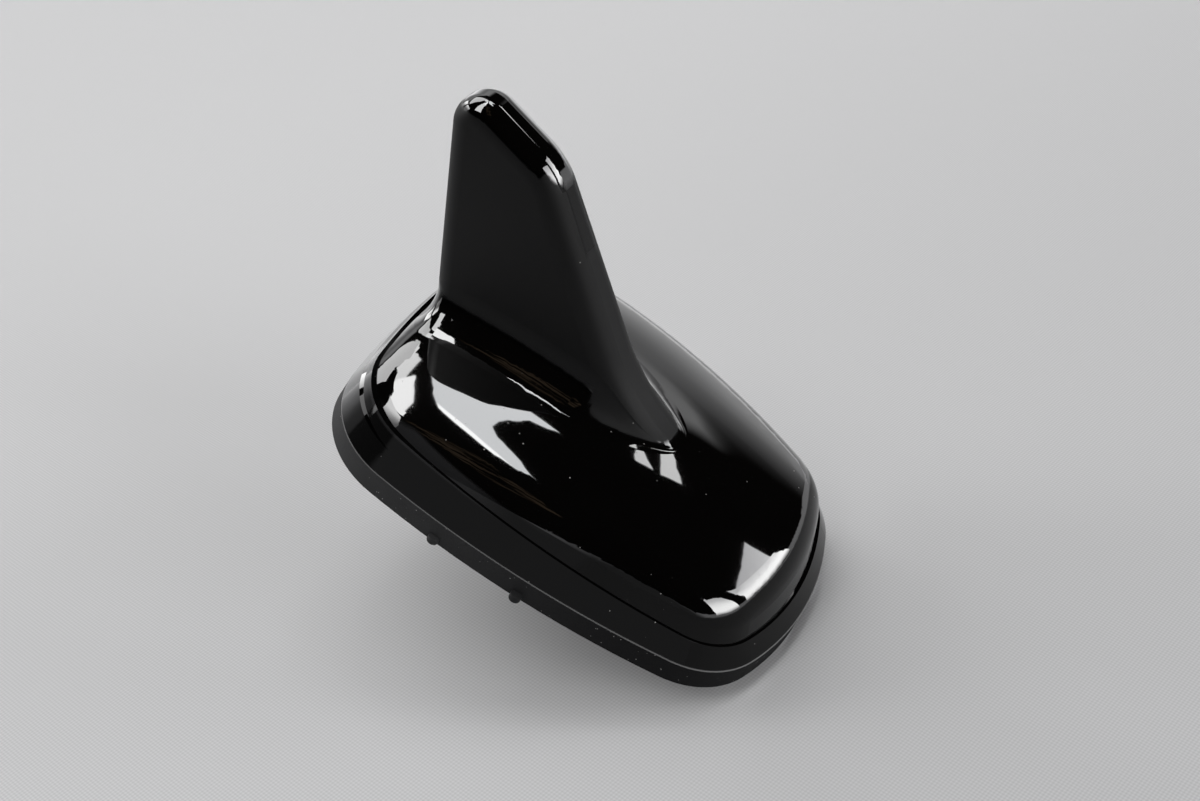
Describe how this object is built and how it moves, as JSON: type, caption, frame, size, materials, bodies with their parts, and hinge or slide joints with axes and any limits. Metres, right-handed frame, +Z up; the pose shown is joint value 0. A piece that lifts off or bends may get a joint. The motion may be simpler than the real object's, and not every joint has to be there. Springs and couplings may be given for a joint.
{
  "type": "vehicle roof aerial",
  "caption": "Shark fin roof aerial for a vehicle: gloss black moulded cover with a swept fin on a pillow base, rubber seal, and a hollow stud that clamps it to the roof.",
  "frame": {"origin": "on the stud's axis, in the plane of the roof, which is the underside of the seal", "axes": "+X towards the nose of the aerial, +Y to its left, +Z up out of the roof"},
  "size_m": [0.0988, 0.0719, 0.084],
  "materials": {
    "gloss_black": "high gloss",
    "seal_rubber": "matt",
    "zinc_casting": "as cast",
    "stud_metal": "zinc plated",
    "collar_plastic": "moulded",
    "grommet_rubber": "matt",
    "screw_steel": "zinc plated",
    "board_laminate": "solder mask",
    "adhesive_pad": "foam tape",
    "patch_ceramic": "ground",
    "silver_face": "fired silver",
    "tinned_metal": "tinned",
    "copper_strip": "bright",
    "chip_resin": "moulded"
  },
  "bodies": {
    "root": {"fin_cover": "gloss_black", "base_seal": "seal_rubber", "base_plate": "zinc_casting", "roof_stud": "stud_metal", "locating_collar": "collar_plastic", "cable_grommet": "grommet_rubber", "cover_screws": "screw_steel", "main_board": "board_laminate", "board_screws": "screw_steel", "patch_pad": "adhesive_pad", "satellite_patch": "patch_ceramic", "patch_electrode": "silver_face", "patch_feed_pin": "tinned_metal", "shield_can": "tinned_metal", "shield_frame": "tinned_metal", "fin_board": "board_laminate", "fin_radiator": "copper_strip", "fin_brackets": "tinned_metal", "amplifier_chips": "chip_resin", "coax_ferrules": "tinned_metal"}
  },
  "joints": []
}
